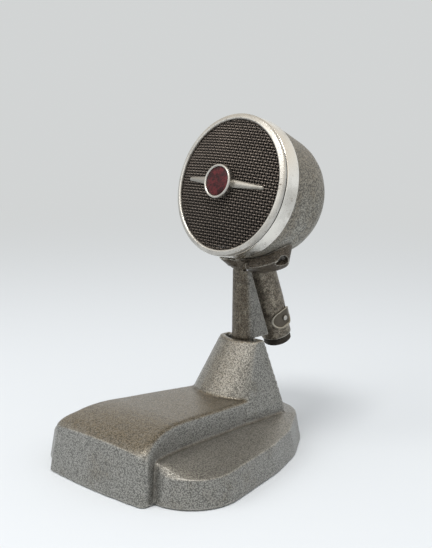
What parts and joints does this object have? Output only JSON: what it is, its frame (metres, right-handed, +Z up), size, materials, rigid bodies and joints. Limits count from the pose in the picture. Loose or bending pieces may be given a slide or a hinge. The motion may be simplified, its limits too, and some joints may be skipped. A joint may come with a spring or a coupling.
{
  "type": "desk microphone",
  "caption": "Desk microphone with a round tilting head, domed wire grille, leaning cable tube and a heavy cast base with a stepped block and side lobes.",
  "frame": {"origin": "on the table, under the middle of the base's length and width", "axes": "+Z up, the grille faces -Y and the cable tube leans back to +Y, +X is the microphone's left-hand side seen from its front"},
  "size_m": [0.128, 0.158, 0.1856],
  "materials": {
    "hammer_grey": "worn grey crinkle paint over cast metal",
    "hammer_shell": "worn grey hammertone paint",
    "brown_patina": "dark brown worn paint on a casting",
    "leg_patina": "brown-grey worn paint on a casting",
    "polished": "polished, pitted and hazed",
    "mesh_dark": "dark woven wire",
    "cloth_dark": "black dust cloth",
    "badge_metal": "bright worn plating",
    "enamel_red": "dark red vitreous enamel",
    "steel": "dull screws",
    "bottom_steel": "grey painted sheet steel",
    "felt": "dark felt",
    "friction_fibre": "hard fibre",
    "baffle": "plain sheet",
    "case_alloy": "turned alloy",
    "rubber_black": "soft black rubber",
    "foil": "thin foil",
    "crystal": "pale crystal with foil electrodes",
    "bakelite": "brown moulded resin",
    "brass": "plain brass",
    "lead_black": "insulated lead",
    "thread_black": "blackened thread ring",
    "plate_metal": "grey plate with a bright rim"
  },
  "bodies": {
    "base": {"base_casting": "hammer_grey", "bottom_plate": "bottom_steel", "felt_pad": "felt", "plate_screws": "steel", "stand_leg": "leg_patina", "leg_bolts": "steel", "leg_bolt_washers": "steel"},
    "head": {"head_cradle": "brown_patina", "hinge_screw": "steel", "friction_washers": "friction_fibre", "head_shell": "hammer_shell", "cradle_screws": "steel", "side_band": "polished", "bezel_ring": "polished", "grille_mesh": "mesh_dark", "grille_cloth": "cloth_dark", "baffle_plate": "baffle", "baffle_screws": "steel", "badge_cup": "badge_metal", "badge_enamel": "enamel_red", "badge_trim_bar": "badge_metal", "badge_nut": "brass", "cartridge_case": "case_alloy", "cartridge_gasket": "rubber_black", "diaphragm": "foil", "drive_pin": "steel", "crystal_element": "crystal", "terminal_block": "bakelite", "terminal_screws": "brass", "inner_lead": "lead_black", "name_plate": "plate_metal", "name_plate_rivet": "badge_metal", "connector_ring": "thread_black", "connector_insulator": "bakelite", "connector_contact": "brass", "connector_set_screw": "steel"}
  },
  "joints": [
    {"name": "head_tilt", "type": "hinge", "parent": "base", "child": "head", "pos_m": [0, 0.0361, 0.10264], "axis": [1, 0, 0], "range_deg": [-7, 16]}
  ]
}
